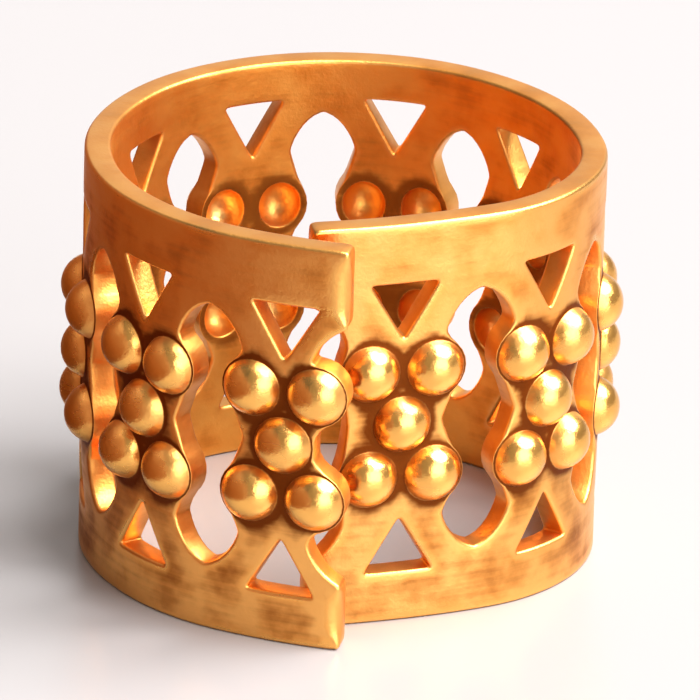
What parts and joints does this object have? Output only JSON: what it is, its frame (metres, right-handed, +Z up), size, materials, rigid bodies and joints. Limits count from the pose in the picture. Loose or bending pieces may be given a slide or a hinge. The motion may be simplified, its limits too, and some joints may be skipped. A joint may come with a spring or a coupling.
{
  "type": "hair cuff bead",
  "caption": "Open ring of pierced and embossed brass sheet, with domed pillars between pointed windows, that is squeezed shut round a braid or lock of hair.",
  "frame": {"origin": "middle of the bead's box, at the lower rim, which is the round back's middle to within a tenth of a millimetre", "axes": "+Z up along the hollow for the hair, -Y towards the seam, +X to the right seen from the seam side"},
  "size_m": [0.0106, 0.0108, 0.008],
  "materials": {
    "gilt_brass": "satin gilt, a little grainy, with brighter domes and browner hollows"
  },
  "bodies": {
    "root": {"filigree_cuff": "gilt_brass"}
  },
  "joints": []
}
